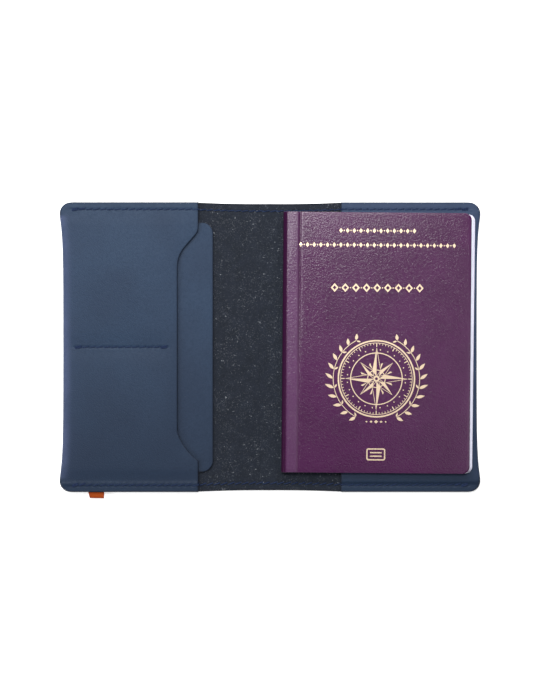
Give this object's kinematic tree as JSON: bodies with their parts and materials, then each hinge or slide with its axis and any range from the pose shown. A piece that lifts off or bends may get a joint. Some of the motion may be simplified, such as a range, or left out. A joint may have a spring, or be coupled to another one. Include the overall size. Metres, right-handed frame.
{
  "type": "passport holder",
  "caption": "Bifold leather passport holder, open flat, with a passport under its right flap, a card flap and card panel on the left, and a ribbon pull tab.",
  "frame": {"origin": "middle of the spine, on the outer leather face that the open holder rests on", "axes": "+X along the open holder to the passport side, +Y up its height to the end away from the ribbon tab, +Z out of the inside faces"},
  "size_m": [0.202, 0.1426, 0.0067],
  "materials": {
    "outer_leather": "fine-grained navy leather, semi-matt",
    "lining": "dark charcoal bonded leather with light flecks, matt",
    "thread": "dark navy polyester thread",
    "ribbon": "burnt-orange satin ribbon",
    "passport_cover": "plum leatherette with a fine pressed grain",
    "page_paper": "smooth off-white security paper",
    "data_page": "stiff laminated page",
    "sewing_thread": "pale sewing thread",
    "foil": "gold stamping foil"
  },
  "bodies": {
    "right_half": {"cover_right": "outer_leather", "fold_right": "outer_leather", "flap_right": "outer_leather", "lining_right": "lining", "thread_top_right": "thread", "thread_bottom_right": "thread", "passport_back_cover": "passport_cover", "passport_front_cover": "passport_cover", "passport_spine_cover": "passport_cover", "passport_back_endpaper": "page_paper", "passport_front_endpaper": "page_paper", "passport_leaves": "page_paper", "passport_data_page": "data_page", "passport_sewing_thread": "sewing_thread", "foil_rules": "foil", "foil_emblem": "foil", "foil_mark": "foil"},
    "spine": {"cover_spine": "outer_leather", "lining_spine": "lining", "thread_top_spine": "thread", "thread_bottom_spine": "thread"},
    "left_half": {"cover_left": "outer_leather", "fold_left": "outer_leather", "flap_left": "outer_leather", "lining_left": "lining", "card_panel": "outer_leather", "thread_top_left": "thread", "thread_bottom_left": "thread", "thread_divider": "thread", "pull_tab_root": "ribbon"},
    "tab_loop": {"pull_tab_loop": "ribbon"}
  },
  "joints": [
    {"name": "spine_fold", "type": "hinge", "parent": "right_half", "child": "spine", "pos_m": [0.0046, 0, 0.0018], "axis": [0, 1, 0], "range_deg": [0, 90]},
    {"name": "left_fold", "type": "hinge", "parent": "spine", "child": "left_half", "pos_m": [-0.0046, 0, 0.0018], "axis": [0, 1, 0], "range_deg": [0, 90]},
    {"name": "tab_flex", "type": "hinge", "parent": "left_half", "child": "tab_loop", "pos_m": [-0.08345, -0.0702, 0.0022], "axis": [-1, 0, 0], "range_deg": [-30, 75], "stiffness_Nm_per_rad": 0.0002}
  ],
  "couplings": [
    {"joint": "spine_fold", "follows": "left_fold", "ratio": 1}
  ]
}
